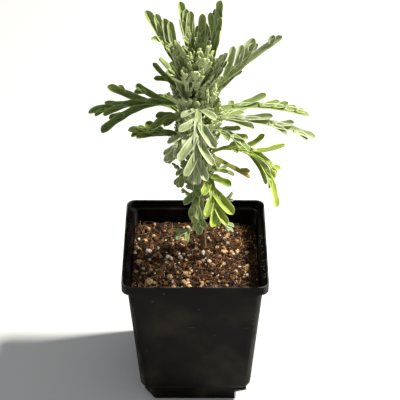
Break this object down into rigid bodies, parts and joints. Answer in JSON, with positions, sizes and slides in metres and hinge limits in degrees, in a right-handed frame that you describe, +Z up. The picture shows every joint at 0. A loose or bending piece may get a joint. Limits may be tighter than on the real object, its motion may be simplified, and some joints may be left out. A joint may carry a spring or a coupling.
{
  "type": "potted lavender",
  "caption": "Young fern-leaf lavender with lobed silver-green leaves on one stem, rooted in soil in a square tapered black nursery pot with a collared rim.",
  "frame": {"origin": "centre of the underside of the pot's foot, on the surface the pot stands on", "axes": "+Z up through the pot and the plant, -Y towards the front of the plant, +X to its right; the square pot's sides lie along X and Y"},
  "size_m": [0.1366, 0.1065, 0.2617],
  "materials": {
    "pot": "black moulded plastic, semi-matte, scuffed and dusty, paler along its edges",
    "soil": "dark crumbly potting mix with brown fibres and pale grit",
    "stem": "brown woody bark with fine lengthwise cracks, greener towards the top",
    "leaf": "velvety grey-green leaf with raised paler edges and a silvery sheen",
    "tuft": "young leaves, yellow-green under silvery down",
    "perlite": "rough white perlite",
    "pumice": "rough tan pumice",
    "bark": "brown bark chip"
  },
  "bodies": {
    "root": {"nursery_pot": "pot", "potting_soil": "soil", "main_stem": "stem", "leaf_back_left": "leaf", "leaf_back_lower": "leaf", "leaf_back_right": "leaf", "leaf_back_upper": "leaf", "leaf_basal_left": "leaf", "leaf_basal_pale": "leaf", "leaf_crown_back": "leaf", "leaf_crown_centre": "leaf", "leaf_crown_front": "leaf", "leaf_crown_front_left": "leaf", "leaf_crown_left": "leaf", "leaf_crown_middle_back": "leaf", "leaf_crown_middle_left": "leaf", "leaf_crown_right": "leaf", "leaf_crown_small_right": "leaf", "leaf_front_left_lower": "leaf", "leaf_front_lower": "leaf", "leaf_front_upper": "leaf", "leaf_front_yellow": "leaf", "leaf_left_broad": "leaf", "leaf_left_lower": "leaf", "leaf_left_slender": "leaf", "leaf_left_small": "leaf", "leaf_left_upper": "leaf", "leaf_low_right": "leaf", "leaf_lower_front": "leaf", "leaf_lower_left": "leaf", "leaf_lower_right": "leaf", "leaf_middle_left": "leaf", "leaf_middle_right": "leaf", "leaf_right_lower": "leaf", "leaf_right_silver": "leaf", "leaf_right_slender": "leaf", "leaf_right_upper": "leaf", "leaf_upper_right": "leaf", "tuft_crown_front": "tuft", "tuft_crown_top": "tuft", "tuft_front_right": "tuft", "tuft_left": "tuft", "tuft_left_lower": "tuft", "tuft_middle_front": "tuft", "tuft_right_lower": "tuft", "tuft_upper_left": "tuft", "bark_grain_01": "bark", "bark_grain_02": "bark", "bark_grain_03": "bark", "bark_grain_04": "bark", "perlite_grain_01": "perlite", "perlite_grain_02": "perlite", "perlite_grain_03": "perlite", "perlite_grain_04": "perlite", "pumice_grain_01": "pumice", "pumice_grain_02": "pumice", "pumice_grain_03": "pumice", "pumice_grain_04": "pumice", "pumice_grain_05": "pumice", "pumice_grain_06": "pumice"}
  },
  "joints": []
}
